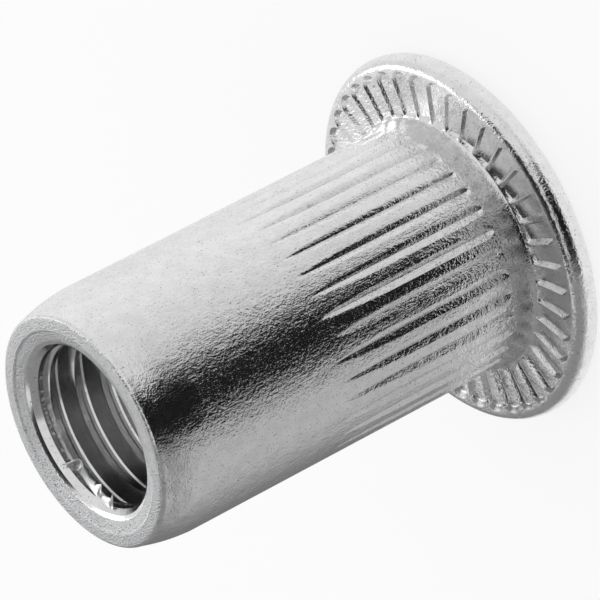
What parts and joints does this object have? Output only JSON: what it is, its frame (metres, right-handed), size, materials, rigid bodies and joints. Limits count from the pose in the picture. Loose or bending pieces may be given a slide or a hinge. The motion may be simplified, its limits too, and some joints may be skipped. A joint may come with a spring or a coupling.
{
  "type": "rivet nut",
  "caption": "Flat-head rivet nut: a tubular blind insert with an internal thread at its open end, a splined crush zone and a serrated seat under the head.",
  "frame": {"origin": "centre of the head's outer face, on the surface the nut stands on", "axes": "+Z along the bore from the head to the open, threaded end; +X lies 2.5 degrees before the middle of a spline groove"},
  "size_m": [0.0194, 0.0194, 0.0244],
  "materials": {
    "zinc_plated_steel": "bright zinc plating over cold-formed steel, satin with fine drawing and pressing marks"
  },
  "bodies": {
    "root": {"rivet_nut": "zinc_plated_steel"}
  },
  "joints": []
}
